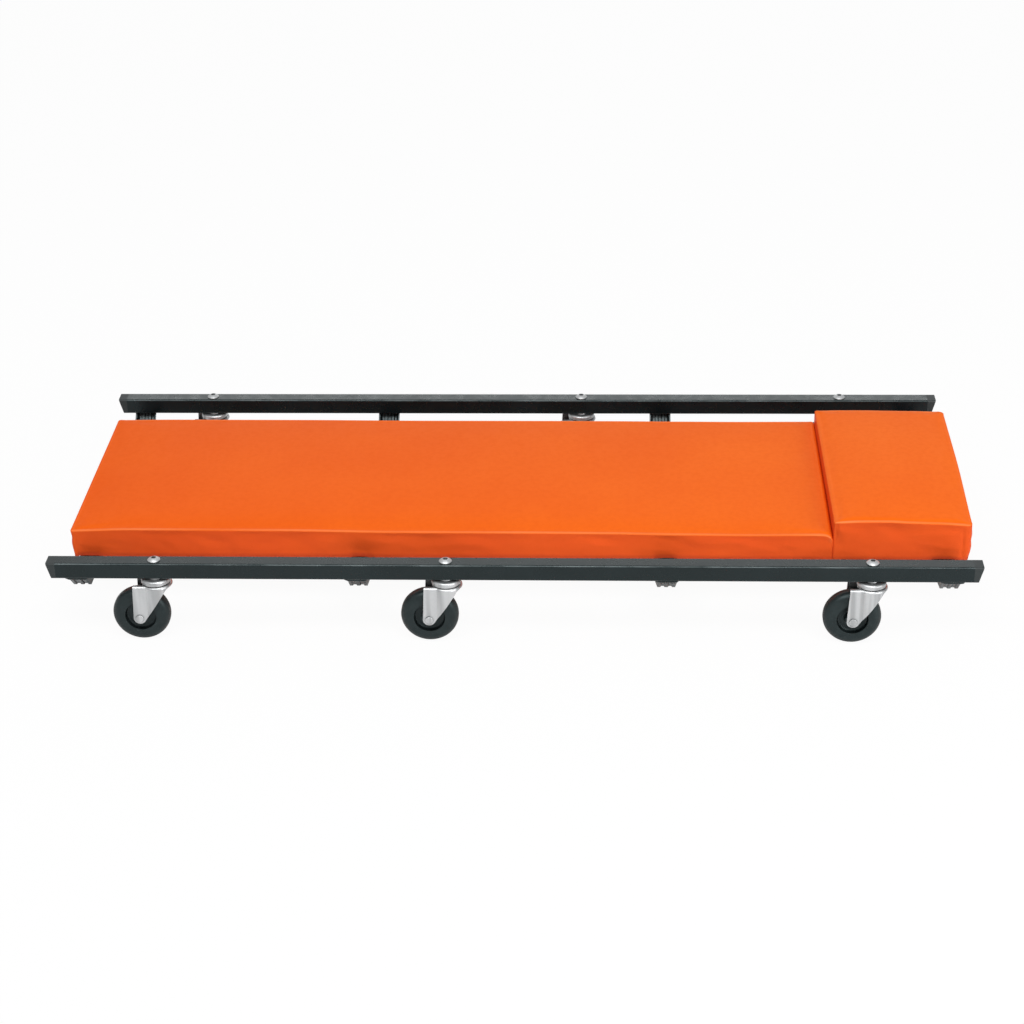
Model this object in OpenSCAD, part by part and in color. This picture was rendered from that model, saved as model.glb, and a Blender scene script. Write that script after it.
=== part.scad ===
// Mechanic creeper: a padded board and headrest on a welded tube frame with six swivel casters.
// Millimetres. +X points to the headrest, +Z up, and the origin is on the floor below the middle.

/* [Frame] */
// Length over the rails' end caps
frame_l = 1016; // [960:4:1220]
// Width over the two rails
frame_w = 427; // [405:1:480]
// Side of the square rail tube
tube_s = 19; // [17:0.5:25]
// Wall of the rail tube
tube_wall = 1.5; // [1:0.1:2]
// Outside corner radius of the rail tube
tube_r = 2.2; // [2.1:0.1:3]
// Reach of an end cap past the tube, along its top
cap_reach = 10; // [7:0.5:14]
// Reach of an end cap past the tube, along its bottom
cap_low_reach = 5; // [3:0.5:6]
// Depth of an end cap's hollow plug inside the tube
plug_l = 16; // [10:1:25]
// Wall of the hollow plug
plug_wall = 2; // [1.5:0.1:3]

/* [Cross members] */
// Distance from the rail's end to the outer cross members
outer_member_inset = 32; // [30:1:44]
// Distance from the middle of the rails to the inner cross members
inner_member_x = 169; // [150:1:190]
// Width of the pressed channel over its open top
member_w = 26; // [24:0.5:30]
// Width of the channel's bottom web
member_base_w = 19.5; // [18.5:0.5:22]
// Depth of the channel
member_depth = 7.5; // [6:0.5:10]
// Sheet thickness of the channel
member_sheet = 1.5; // [1:0.1:2]
// Height of the two stiffening ribs pressed into the web
rib_h = 1.2; // [0.8:0.1:1.8]
// Distance between the two ribs
rib_pitch = 8.2; // [7.5:0.1:9]
// Width of a rib at its foot
rib_foot_w = 4.8; // [4:0.1:6]
// Width of a rib's flat top
rib_top_w = 2.8; // [1.5:0.1:3.5]
// Drop from the rail's underside to the channel's open top
member_drop = 14; // [10:0.5:18]
// Distance from the rail's outer face to the crank's upper bend
crank_inset = 5; // [4:0.5:8]
// Run of the sloping crank between the channel and its upper bend
crank_run = 20; // [12:0.5:26]
// Width of the spread lip that is welded under the rail
lip_w = 26; // [24:0.5:30]
// Distance from the rail's outer face to the lip's end
lip_inset = 2.5; // [1:0.5:3.5]
// Chamfer of the lip's outer corners
lip_chamfer = 1.5; // [0.5:0.1:2]

/* [Wheels] */
// Diameter of a wheel
wheel_d = 63.5; // [58:0.5:70]
// Width of a wheel over its side faces
wheel_w = 20; // [18:0.5:22]
// Radius of the tread's rounded edges
tread_r = 8.5; // [4:0.5:8.8]
// Diameter of the recess in each side
recess_d = 34.5; // [30:0.5:38]
// Thickness of the web between the recesses
web_t = 8; // [6:0.5:10]
// Diameter of the hub
hub_d = 17; // [14:0.5:20]
// Radius of the recess's rounded floor edge
recess_r = 3; // [1.5:0.5:3.5]
// Diameter of the axle
axle_d = 6; // [5:0.5:7]
// Wall of the steel bush in the hub
bush_wall = 1.5; // [1:0.25:2]
// Diameter of the axle's riveted heads
axle_head_d = 8.5; // [8:0.5:11]
// Height of the axle's riveted heads
axle_head_h = 1.4; // [1:0.1:2]

/* [Swivel heads] */
// Distance from the swivel axis back to the axle
trail = 19; // [17:0.5:22]
// Gap between a wheel's top and the fork's crown
wheel_gap = 5.8; // [5.8:0.1:10]
// Width over the fork's legs
fork_w = 30; // [29:0.5:34]
// Sheet thickness of the fork
fork_sheet = 2; // [1.5:0.1:2.5]
// Radius of the fork's round crown
crown_r = 17.8; // [17.3:0.1:20]
// Outside bend radius of the fork's shoulders
bend_r = 3.2; // [2.6:0.1:4]
// Radius of the round lobe at the foot of each leg
lobe_r = 6.8; // [6:0.1:8]
// How far the legs' back edges lean forward over their height
leg_lean = 2.3; // [0:0.1:4]
// Distance from the swivel axis forward to where the slanted edge meets the lip
slant_x = 13.3; // [11:0.1:14]
// Height of the crown's front lip
lip_h = 3; // [2.6:0.1:4]
// Radius of the flare from the slanted edge to the lip
flare_r = 6; // [3:0.5:7]
// Radius of the crown's round plate behind the swivel axis
plate_r = 15.5; // [15:0.1:16]
// Width of the turned-in edge along the top of each leg
turn_in = 4.5; // [3:0.5:6]
// Diameter of the upper race
race_d = 32; // [31:0.5:34]
// Sheet thickness of the upper race
race_sheet = 2; // [1.5:0.1:2.2]
// Radius of the upper race's outer shoulder
race_shoulder = 2.4; // [1.5:0.1:2.5]
// Height of the boss that stands the race off the rail
boss_h = 1; // [0.5:0.25:3]
// Diameter of that boss
boss_d = 16; // [15:0.5:18]
// Diameter of a bearing ball
ball_d = 4.8; // [4.4:0.1:5]
// Diameter of the circle of balls
ball_circle_d = 22; // [21.6:0.1:22.4]
// Number of balls in a race
balls = 12; // [8:1:13]
// Depth of the ball groove in the crown
groove = 0.8; // [0.5:0.1:1]
// Depth of the ball groove in the race
race_groove = 0.1; // [0.05:0.05:0.3]
// Gap between the race's skirt and the crown
skirt_gap = 1; // [0.6:0.1:1.5]

/* [Bolts and screws] */
// Distance from the rail's end to the outer casters
caster_inset = 118; // [112:1:130]
// Distance of the staggered middle casters from the middle of the rails
middle_caster_x = 71; // [50:1:80]
// Diameter of a caster bolt
bolt_d = 8; // [6:0.5:8.5]
// Diameter of a caster bolt's button head
bolt_head_d = 14; // [13:0.5:16]
// Height of a caster bolt's button head
bolt_head_h = 3.8; // [3.5:0.1:5]
// Height of the straight edge round the button head
bolt_head_edge = 0.8; // [0.4:0.1:1.5]
// Width across the flats of the hexagon socket
socket_af = 5; // [4:0.5:6]
// Depth of the hexagon socket
socket_depth = 2.6; // [2:0.1:3]
// Outside diameter of the thrust washer under the crown
washer_d = 16; // [15.5:0.1:16.5]
// Thickness of the thrust washer
washer_t = 1.5; // [1:0.1:2]
// Width across the flats of the nut
nut_af = 13; // [12:0.5:13.5]
// Height of the nut
nut_h = 5; // [4:0.1:5.4]
// Length of bolt that stands out of the nut
bolt_tail = 0.7; // [0.3:0.1:1]
// Diameter of a board screw
screw_d = 4; // [3.5:0.1:5]
// Length of a board screw under its head
screw_l = 15; // [14:0.5:16]
// Length of a board screw's pointed tip
screw_tip_l = 3; // [2:0.5:4]
// Diameter of a board screw's head
screw_head_d = 9; // [8:0.5:10]
// Height of a board screw's head
screw_head_h = 2.4; // [1.5:0.1:3]
// Distance of the board screws from the centre line
screw_y = 92; // [60:1:110]

/* [Pads] */
// Gap between a rail and the pads
pad_side_gap = 55; // [50:0.5:70]
// Distance from the rails' foot end to the body pad
foot_setback = 12; // [5:0.5:20]
// Distance from the rails' head end to the head pad
head_setback = 4; // [2:0.5:10]
// Length of the head pad
head_pad_l = 149; // [130:1:180]
// Gap between the two pads
pad_gap = 2; // [1:0.5:4]
// Height of the body pad
body_pad_h = 33.5; // [28:0.5:45]
// Height of the head pad
head_pad_h = 48; // [38:0.5:60]
// Rise of a pad's crowned top above its edge
crown_rise = 2.5; // [1:0.5:5]
// Radius of a pad's rounded top edge
pad_edge_r = 4; // [3:0.5:9]
// Radius of a pad's corners seen from above
pad_corner_r = 6; // [5:0.5:14]
// How far a pad's sides lean in towards its bottom
pad_lean = 1.5; // [1:0.5:6]
// How far a pad's sides draw in between its corners
pad_draw = 0.5; // [0:0.25:3]
// Thickness of a board
board_t = 9; // [6:0.5:12]
// Distance from a pad's widest outline in to its board
board_inset = 9; // [8:0.5:14]
// Radius of a board's corners
board_r = 8; // [4:0.5:12]
// Thickness of the cover's hem under a board
hem_t = 1; // [0.6:0.1:2]
// Width of the cover's hem under a board
hem_w = 24; // [15:1:40]
// Distance from a pad's widest outline in to its foam
foam_inset = 8; // [7:0.5:12]
// Distance from a pad's top edge down to its foam
foam_cover = 2; // [1:0.25:4]

/* [Clearances] */
// Radial gap between a turning shaft and its hole
run_gap = 0.05; // [0.02:0.01:0.1]
// Gap at the end face of a turning part
end_gap = 0.3; // [0.2:0.05:0.4]
// Gap all round a bearing ball
ball_gap = 0.15; // [0.1:0.01:0.2]
// Radial gap round a bolt in its clearance hole
bolt_gap = 0.25; // [0.1:0.05:0.4]
// Radial gap round a screw in its pilot hole
screw_gap = 0.1; // [0.05:0.01:0.2]
// Gap between pieces that are pushed together
push_gap = 0.1; // [0.05:0.01:0.2]

/* [Hidden] */
$fn = 64;
big = frame_l;
over = 2;

wheel_r = wheel_d / 2;
axle_r = axle_d / 2;
bush_r = axle_r + run_gap + bush_wall;
rim_in_r = recess_d / 2;
inner_half = fork_w / 2 - fork_sheet;
hub_half = inner_half - 2 * end_gap;
bush_half = inner_half - end_gap;

ball_r = ball_d / 2;
groove_r = ball_r + ball_gap;
ring_r = ball_circle_d / 2;
race_r = race_d / 2;
crown_drop = boss_h + race_sheet + 2 * groove_r - groove - race_groove;
neck_drop = crown_drop + fork_sheet + end_gap;
rail_z = wheel_d + wheel_gap + fork_sheet + crown_drop;
crown_z = rail_z - crown_drop;
lip_z = crown_z - lip_h;
ball_z = crown_z - groove + groove_r;
groove_wall = fork_sheet - groove;

bolt_r = bolt_d / 2;
hole_r = bolt_r + bolt_gap;
neck_r = hole_r + race_sheet;
screw_r = screw_d / 2;

rail_y = frame_w / 2 - tube_s / 2;
rail_top = rail_z + tube_s;
tube_l = frame_l - 2 * cap_reach;
caster_x = frame_l / 2 - caster_inset;
outer_member_x = frame_l / 2 - outer_member_inset;

channel_z = rail_z - member_drop - member_depth;
channel_top = channel_z + member_depth;
lip_level = rail_z - member_sheet;
crank_end_y = frame_w / 2 - crank_inset;
crank_start_y = crank_end_y - crank_run;
crank_rise = lip_level - channel_z;
crank_angle = atan2(crank_rise, crank_run);
cheek_lean = atan((member_w - member_base_w) / 2 / member_depth);
rib_foot = rib_foot_w / 2;
rib_flat = rib_top_w / 2;

pad_z = channel_top;
pad_w = frame_w - 2 * tube_s - 2 * pad_side_gap;
body_x0 = -frame_l / 2 + foot_setback;
head_x1 = frame_l / 2 - head_setback;
head_x0 = head_x1 - head_pad_l;
body_x1 = head_x0 - pad_gap;
board_z = pad_z + hem_t;
foam_z = board_z + board_t + push_gap;

// Points of a cushion: along a corner's arc, along a side, and up its side, its edge and its top
arc_steps = 4;
side_steps = 6;
side_levels = 4;
edge_levels = 4;
top_levels = 6;
// How fast the lean fades with height, the top's last ring, and the last ring's corner radius
lean_power = 1.6;
top_share = 0.96;
last_corner_share = 0.25;

steel = [0.78, 0.79, 0.8];
paint = [0.2, 0.22, 0.23];
black = [0.17, 0.18, 0.18];
orange = [0.93, 0.38, 0.13];
plywood = [0.72, 0.56, 0.38];
sponge = [0.92, 0.88, 0.74];

MEMBERS = [-outer_member_x, -inner_member_x, inner_member_x, outer_member_x];
CASTERS = [
    ["left_foot", -caster_x, -rail_y], ["left_middle", -middle_caster_x, -rail_y],
    ["left_head", caster_x, -rail_y], ["right_foot", -caster_x, rail_y],
    ["right_middle", middle_caster_x, rail_y], ["right_head", caster_x, rail_y],
];
CAPS = [["left_foot", -1, -1], ["left_head", 1, -1], ["right_foot", -1, 1], ["right_head", 1, 1]];
CASTER_PARTS = ["race", "balls", "fork", "axle", "bush", "wheel"];

// Extrudes an outline drawn as (Y, Z) along +X
module along_x(l) { rotate([90, 0, 90]) linear_extrude(l) children(); }

// Extrudes an outline drawn as (X, Z) along Y, to both sides of the XZ plane
module across_y(l) { rotate([90, 0, 0]) linear_extrude(l, center = true) children(); }

module at_caster(c) { translate([c[1], c[2], 0]) children(); }

module round_square(s, r) {
    square([s - 2 * r, s], center = true);
    square([s, s - 2 * r], center = true);
    for (x = [-1, 1], y = [-1, 1]) translate([x, y] * (s / 2 - r)) circle(r);
}

module round_rect(size, r) {
    square([size.x - 2 * r, size.y], center = true);
    square([size.x, size.y - 2 * r], center = true);
    for (x = [-1, 1], y = [-1, 1]) translate([x * (size.x / 2 - r), y * (size.y / 2 - r)]) circle(r);
}

// Quarter of a disc, its corner at the origin and its arc up and to the right
module quarter(r) { intersection() { circle(r); square(r); } }

// Fills the corner at p, between edges that leave it at angles a1 and a2, with an arc of radius r
module corner_fill(p, a1, a2, r) {
    half = (a2 - a1) / 2;
    mid = (a1 + a2) / 2;
    centre = p + r / sin(half) * [cos(mid), sin(mid)];
    reach = r / tan(half);
    difference() {
        polygon([p, p + reach * [cos(a1), sin(a1)], centre, p + reach * [cos(a2), sin(a2)]]);
        translate(centre) circle(r);
    }
}

// Point where a line from q touches the circle of radius r at c, to the right as seen from q
function tangent_point(q, c, r) =
    let (d = c - q, a = atan2(d.y, d.x) + asin(r / norm(d)))
    q + sqrt(d * d - r * r) * [cos(a), sin(a)];

// Rails and their end caps

module rail_section(s, r) { translate([0, rail_z + tube_s / 2]) round_square(s, r); }

// side is -1 on the left and 1 on the right
module rail(side) {
    color(paint) difference() {
        translate([-tube_l / 2, side * rail_y, 0]) along_x(tube_l) difference() {
            rail_section(tube_s, tube_r);
            rail_section(tube_s - 2 * tube_wall, tube_r - tube_wall);
        }
        for (c = CASTERS) if (c[2] * side > 0) at_caster(c)
            translate([0, 0, rail_z - over]) cylinder(h = tube_s + 2 * over, r = hole_r);
    }
}

// Wedge-shaped head, longer at its top, with a hollow plug that fills the tube's mouth
module end_cap(end, side) {
    bore_s = tube_s - 2 * tube_wall - 2 * push_gap;
    bore_r = tube_r - tube_wall;
    color(black) translate([end * tube_l / 2, side * rail_y, 0]) scale([end, 1, 1]) {
        intersection() {
            along_x(cap_reach) rail_section(tube_s, tube_r);
            across_y(tube_s + over) polygon([
                [0, rail_z], [cap_low_reach, rail_z], [cap_reach, rail_top], [0, rail_top]]);
        }
        translate([-plug_l, 0, 0]) difference() {
            along_x(plug_l + cap_low_reach / 2) rail_section(bore_s, bore_r);
            translate([-over, 0, 0]) along_x(plug_l) rail_section(bore_s - 2 * plug_wall, bore_r);
        }
    }
}

// Cross members

function reversed(v) = [for (i = [len(v) - 1:-1:0]) v[i]];

// The web's line at height n, with its two pressed ribs, from one bottom corner to the other
function web_line(n, half) = concat(
    [[-half, n]],
    [for (s = [-1, 1]) for (p = [[-rib_foot, 0], [-rib_flat, rib_h], [rib_flat, rib_h], [rib_foot, 0]])
        [s * rib_pitch / 2 + p.x, n + p.y]],
    [[half, n]]
);

// Cross-section of the open-topped channel, bottom at zero
module channel_section() {
    cheek_t = member_sheet / cos(cheek_lean);
    base = member_base_w / 2;
    top = member_w / 2;
    inner_base = base + member_sheet * tan(cheek_lean) - cheek_t;
    polygon(concat(
        [[-top, member_depth]], web_line(0, base), [[top, member_depth], [top - cheek_t, member_depth]],
        reversed(web_line(member_sheet, inner_base)), [[cheek_t - top, member_depth]]
    ));
}

// Half space beyond the mitre at a bend, where y and z place the bend
module beyond(y, z) {
    translate([0, y, z]) rotate([crank_angle / 2, 0, 0]) translate([-big / 2, 0, -big / 2]) cube(big);
}

module crank() {
    intersection() {
        difference() {
            translate([0, crank_start_y, channel_z]) rotate([crank_angle, 0, 0])
                across_y(4 * crank_rise) channel_section();
            beyond(crank_end_y, lip_level);
        }
        beyond(crank_start_y, channel_z);
        translate([-big / 2, -big / 2, rail_z - big]) cube(big);
    }
}

// Flat lip at the crank's upper end, spread to its full width
module weld_lip() {
    root_y = crank_end_y - member_sheet;
    lip_end = frame_w / 2 - lip_inset;
    translate([0, 0, lip_level]) linear_extrude(member_sheet) difference() {
        polygon([
            [-member_base_w / 2, root_y], [member_base_w / 2, root_y], [lip_w / 2, crank_end_y],
            [lip_w / 2, lip_end], [-lip_w / 2, lip_end], [-lip_w / 2, crank_end_y]]);
        for (s = [-1, 1]) translate([s * lip_w / 2, lip_end]) rotate(45)
            square(sqrt(2) * lip_chamfer, center = true);
    }
}

module cross_member(x) {
    color(paint) translate([x, 0, 0]) difference() {
        union() {
            difference() {
                translate([0, 0, channel_z]) across_y(frame_w) channel_section();
                beyond(crank_start_y, channel_z);
                mirror([0, 1, 0]) beyond(crank_start_y, channel_z);
            }
            for (s = [0, 1]) mirror([0, s, 0]) {
                crank();
                weld_lip();
            }
        }
        for (s = [-1, 1]) translate([0, s * screw_y, channel_z - over])
            cylinder(h = member_sheet + 2 * over, r = screw_r + bolt_gap);
    }
}

// Pan-head wood screws, driven up through the channels into the boards
module board_screws() {
    half_head = screw_head_h / 2;
    color(steel) for (x = MEMBERS, s = [-1, 1]) translate([x, s * screw_y, channel_z])
        rotate_extrude() {
            translate([0, -half_head]) square([screw_head_d / 2, half_head]);
            intersection() {
                translate([0, -half_head]) scale([screw_head_d / screw_head_h, 1]) circle(half_head);
                translate([0, -screw_head_h]) square([screw_head_d / 2, screw_head_h]);
            }
            polygon([[0, 0], [screw_r, 0], [screw_r, screw_l - screw_tip_l], [0, screw_l]]);
        }
}

// Pads: a board, a foam block and a cover that wraps them both

// Holes for the board screws that meet a pad between x0 and x1, to a depth from the channels' webs
module screw_holes(x0, x1, depth) {
    for (x = MEMBERS, s = [-1, 1]) if (x > x0 && x < x1)
        translate([x, s * screw_y, channel_z]) cylinder(h = depth, r = screw_r + screw_gap);
}

module board(x0, x1) {
    size = [x1 - x0, pad_w] - 2 * board_inset * [1, 1];
    color(plywood) difference() {
        translate([(x0 + x1) / 2, 0, board_z]) linear_extrude(board_t) round_rect(size, board_r);
        screw_holes(x0, x1, screw_l + screw_gap);
    }
}

module foam_block(x0, x1, h, gap) {
    size = [x1 - x0, pad_w] - 2 * (foam_inset - gap) * [1, 1];
    translate([(x0 + x1) / 2, 0, foam_z - gap])
        linear_extrude(pad_z + h - foam_cover - foam_z + 2 * gap) round_rect(size, board_r + gap);
}

module foam(x0, x1, h) { color(sponge) foam_block(x0, x1, h, 0); }

// One turn round a rounded rectangle of half sizes h: corners of arc_steps + 1 points, and side_steps
// points along each side, which draws in by up to draw between its corners
function corner_point(q, j, h, r) = let (k = q % 4, a = 90 * (k + j / arc_steps))
    [(k == 0 || k == 3 ? 1 : -1) * (h.x - r), (k < 2 ? 1 : -1) * (h.y - r)] + r * [cos(a), sin(a)];
function side_point(q, t, h, r, draw) =
    let (a = corner_point(q, arc_steps, h, r), b = corner_point(q + 1, 0, h, r), n = 90 * (q + 1))
    a + (b - a) * t - 4 * t * (1 - t) * draw * [cos(n), sin(n)];
function turn(h, r, draw, z) = [for (q = [0:3]) each concat(
    [for (j = [0:arc_steps]) concat(corner_point(q, j, h, r), z)],
    [for (j = [1:side_steps]) concat(side_point(q, j / (side_steps + 1), h, r, draw), z)]
)];

// Levels of a cushion from its bottom up, each as height, inset and draw
function levels(h, half) = concat(
    [[0, pad_lean + pad_edge_r / 3, 0]],
    [for (i = [0:side_levels]) let (t = i / side_levels, z0 = pad_edge_r / 3)
        [z0 + t * (h - pad_edge_r - z0), pad_lean * pow(1 - t, lean_power), pad_draw * sin(180 * t)]],
    [for (i = [1:edge_levels]) let (a = 90 * i / edge_levels)
        [h - pad_edge_r * (1 - sin(a)), pad_edge_r * (1 - cos(a)), 0]],
    [for (i = [1:top_levels]) let (t = top_share * i / top_levels)
        [h + crown_rise * (1 - pow(1 - t, 2)), pad_edge_r + (half - pad_edge_r) * t, 0]]
);

// Crowned cushion between x0 and x1, from the boards' level up to h at its edge
module cushion(x0, x1, h) {
    half = [(x1 - x0) / 2, pad_w / 2];
    short_half = min(half.x, half.y);
    rings = [for (l = levels(h, short_half)) let (
            last_r = pad_corner_r * last_corner_share * (1 - l[1] / short_half),
            r = max(pad_corner_r - l[1] / 2, last_r)
        ) turn(half - l[1] * [1, 1], r, l[2], l[0])];
    n = len(rings[0]);
    points = concat([for (r = rings) each r], [[0, 0, 0], [0, 0, h + crown_rise]]);
    last = (len(rings) - 1) * n;
    foot = len(points) - 2;
    faces = concat(
        [for (k = [0:len(rings) - 2], i = [0:n - 1]) let (a = k * n + i, b = k * n + (i + 1) % n) each
            [[a, a + n, b], [b, a + n, b + n]]],
        [for (i = [0:n - 1]) [foot, i, (i + 1) % n]],
        [for (i = [0:n - 1]) [foot + 1, last + (i + 1) % n, last + i]]
    );
    translate([(x0 + x1) / 2, 0, pad_z]) polyhedron(points, faces);
}

module cover(x0, x1, h) {
    board_size = [x1 - x0, pad_w] - 2 * (board_inset - push_gap) * [1, 1];
    color(orange) difference() {
        cushion(x0, x1, h);
        foam_block(x0, x1, h, push_gap);
        translate([(x0 + x1) / 2, 0, board_z]) linear_extrude(board_t + push_gap + over)
            round_rect(board_size, board_r);
        translate([(x0 + x1) / 2, 0, pad_z - over]) linear_extrude(hem_t + 2 * over)
            square(board_size - 2 * hem_w * [1, 1], center = true);
        screw_holes(x0, x1, board_z + over - channel_z);
    }
}

// Caster bolts, thrust washers and nuts

module caster_bolts() {
    rise = bolt_head_h - bolt_head_edge;
    dome_r = (pow(bolt_head_d / 2, 2) + rise * rise) / (2 * rise);
    tail = neck_drop + washer_t + nut_h + bolt_tail;
    color(steel) for (c = CASTERS) at_caster(c) translate([0, 0, rail_top]) difference() {
        union() {
            rotate_extrude() {
                square([bolt_head_d / 2, bolt_head_edge]);
                intersection() {
                    translate([0, bolt_head_h - dome_r]) circle(dome_r);
                    square([bolt_head_d / 2, bolt_head_h]);
                }
            }
            translate([0, 0, -tube_s - tail])
                cylinder(h = tube_s + tail + bolt_head_edge / 2, r = bolt_r);
        }
        translate([0, 0, bolt_head_h - socket_depth])
            cylinder(h = socket_depth + over, r = socket_af / 2 / cos(30), $fn = 6);
    }
}

module swivel_washers() {
    color(steel) for (c = CASTERS) at_caster(c) translate([0, 0, rail_z - neck_drop - washer_t])
        difference() {
            cylinder(h = washer_t, r = washer_d / 2);
            translate([0, 0, -over]) cylinder(h = washer_t + 2 * over, r = hole_r);
        }
}

module swivel_nuts() {
    color(steel) for (c = CASTERS) at_caster(c) translate([0, 0, rail_z - neck_drop - washer_t - nut_h])
        difference() {
            cylinder(h = nut_h, r = nut_af / 2 / cos(30), $fn = 6);
            translate([0, 0, -over]) cylinder(h = nut_h + 2 * over, r = bolt_r + run_gap);
        }
}

// Swivel head: upper race, balls and fork

// Right half of an upright section that ends in a rounded shoulder
module shoulder(half, top, r) {
    square([half, top - r]);
    square([half - r, top]);
    translate([half - r, top - r]) quarter(r);
}

// Pressed cup bolted to the rail, its neck passing down through the fork's crown to the washer
module race() {
    skirt_z = crown_drop - skirt_gap;
    plate_z = boss_h + race_sheet;
    boss_r = boss_d / 2;
    color(steel) translate([0, 0, rail_z]) difference() {
        union() {
            translate([0, 0, -neck_drop]) cylinder(h = neck_drop, r = neck_r);
            translate([0, 0, -boss_h]) cylinder(h = boss_h, r1 = boss_r + boss_h / 2, r2 = boss_r);
            translate([0, 0, -skirt_z]) rotate_extrude()
                shoulder(race_r, skirt_z - boss_h, race_shoulder);
        }
        translate([0, 0, -skirt_z - over]) difference() {
            cylinder(h = skirt_z + over - plate_z, r = race_r - race_sheet);
            translate([0, 0, -over]) cylinder(h = skirt_z + 2 * over, r = neck_r);
        }
        translate([0, 0, -neck_drop - over]) cylinder(h = neck_drop + 2 * over, r = hole_r);
        translate([0, 0, ball_z - rail_z]) rotate_extrude() translate([ring_r, 0]) circle(groove_r);
    }
}

module ball_ring() {
    color(steel) for (i = [0:balls - 1]) rotate(360 * i / balls)
        translate([ring_r, 0, ball_z]) sphere(ball_r);
}

// Legs and round crown as a solid, inset by the sheet for the space inside, back to x = -back
module fork_form(inset, back) {
    top = crown_z - inset;
    leg_half = fork_w / 2 - inset;
    round_r = crown_r - inset;
    crease = sqrt(round_r * round_r - leg_half * leg_half);
    translate([-back, 0, 0]) along_x(back) for (s = [0, 1]) mirror([s, 0])
        shoulder(leg_half, top, bend_r - inset);
    intersection() {
        rotate_extrude() shoulder(round_r, top, bend_r - inset);
        translate([-crease, -big / 2, -big / 2]) cube(big);
    }
}

// Side outline of the fork as (X, Z): lobe round the axle, slanted front edge, flare and front lip
module fork_outline() {
    axle = [-trail, wheel_r];
    knee = [slant_x, lip_z];
    foot = tangent_point(knee, axle, lobe_r);
    front = crown_r + over;
    translate(axle) circle(lobe_r);
    polygon([
        [axle.x - lobe_r, axle.y], foot, knee, [front, lip_z], [front, crown_z + over],
        [axle.x - lobe_r + leg_lean, crown_z + over]]);
    corner_fill(knee, atan2(foot.y - knee.y, foot.x - knee.x), 0, flare_r);
}

// The pressed groove shows as a round bead under the crown
module groove_bead() {
    translate([0, 0, crown_z]) rotate_extrude() intersection() {
        translate([ring_r, ball_z - crown_z]) circle(groove_r + groove_wall);
        translate([0, -2 * fork_sheet]) square([race_r, 2 * fork_sheet]);
    }
}

module fork() {
    back = trail + lobe_r;
    color(steel) difference() {
        union() {
            difference() {
                intersection() {
                    fork_form(0, back);
                    across_y(2 * crown_r + over) fork_outline();
                }
                fork_form(fork_sheet, back + over);
            }
            groove_bead();
        }
        // open back, behind the round plate that carries the balls
        difference() {
            translate([-back - over, turn_in - fork_w / 2, crown_z - 2 * fork_sheet])
                cube([back + over, fork_w - 2 * turn_in, 3 * fork_sheet]);
            cylinder(h = rail_z, r = plate_r);
        }
        translate([0, 0, crown_z - 2 * fork_sheet]) cylinder(h = 3 * fork_sheet, r = neck_r + run_gap);
        translate([0, 0, ball_z]) rotate_extrude() translate([ring_r, 0]) circle(groove_r);
        translate([-trail, 0, wheel_r]) across_y(fork_w + over) circle(axle_r + run_gap);
    }
}

// Axle, bush and wheel

module axle() {
    half = fork_w / 2;
    color(steel) translate([-trail, 0, wheel_r]) rotate([90, 0, 0]) {
        cylinder(h = 2 * half, r = axle_r, center = true);
        for (s = [0, 1]) mirror([0, 0, s]) translate([0, 0, half]) rotate_extrude() {
            square([axle_head_d / 2 - axle_head_h / 2, axle_head_h]);
            square([axle_head_d / 2, axle_head_h / 2]);
            translate([axle_head_d / 2 - axle_head_h / 2, axle_head_h / 2]) quarter(axle_head_h / 2);
        }
    }
}

module bush() {
    color(steel) translate([-trail, 0, wheel_r]) across_y(2 * bush_half) difference() {
        circle(bush_r);
        circle(axle_r + run_gap);
    }
}

// Half section of a wheel as (radius, width), both sides of its middle plane
module wheel_section() {
    half = wheel_w / 2;
    rim_w = wheel_r - rim_in_r;
    translate([bush_r, -hub_half]) square([hub_d / 2 - bush_r, 2 * hub_half]);
    translate([bush_r, -web_t / 2]) square([rim_in_r + rim_w / 2 - bush_r, web_t]);
    translate([rim_in_r, -half]) square([rim_w - tread_r, wheel_w]);
    translate([rim_in_r, tread_r - half]) square([rim_w, wheel_w - 2 * tread_r]);
    for (s = [0, 1]) mirror([0, s]) {
        translate([wheel_r - tread_r, half - tread_r]) quarter(tread_r);
        corner_fill([rim_in_r, web_t / 2], 90, 180, recess_r);
        corner_fill([hub_d / 2, web_t / 2], 0, 90, recess_r / 2);
    }
}

module wheel() {
    color(black) translate([-trail, 0, wheel_r]) rotate([90, 0, 0]) rotate_extrude() wheel_section();
}

rail(-1);  // left_rail
rail(1);  // right_rail
for (c = CAPS) end_cap(c[1], c[2]);
for (i = [1:len(MEMBERS)])
    cross_member(MEMBERS[i - 1]);
board(body_x0, body_x1);  // body_board
foam(body_x0, body_x1, body_pad_h);  // body_foam
cover(body_x0, body_x1, body_pad_h);  // body_cover
board(head_x0, head_x1);  // head_board
foam(head_x0, head_x1, head_pad_h);  // head_foam
cover(head_x0, head_x1, head_pad_h);  // head_cover
caster_bolts();
swivel_washers();
swivel_nuts();
board_screws();
for (c = CASTERS) {
    at_caster(c) race();
    at_caster(c) ball_ring();
    at_caster(c) fork();
    at_caster(c) axle();
    at_caster(c) bush();
    at_caster(c) wheel();
}
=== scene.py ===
"""Looks of a mechanic creeper: vinyl pads, painted steel tube and zinc-plated casters.

Metres, in the frame's own axes: +X points to the headrest, +Z up, and the floor is at zero.
"""

import math

import bpy
import numpy as np
from mathutils import Matrix, Vector, noise


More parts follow.
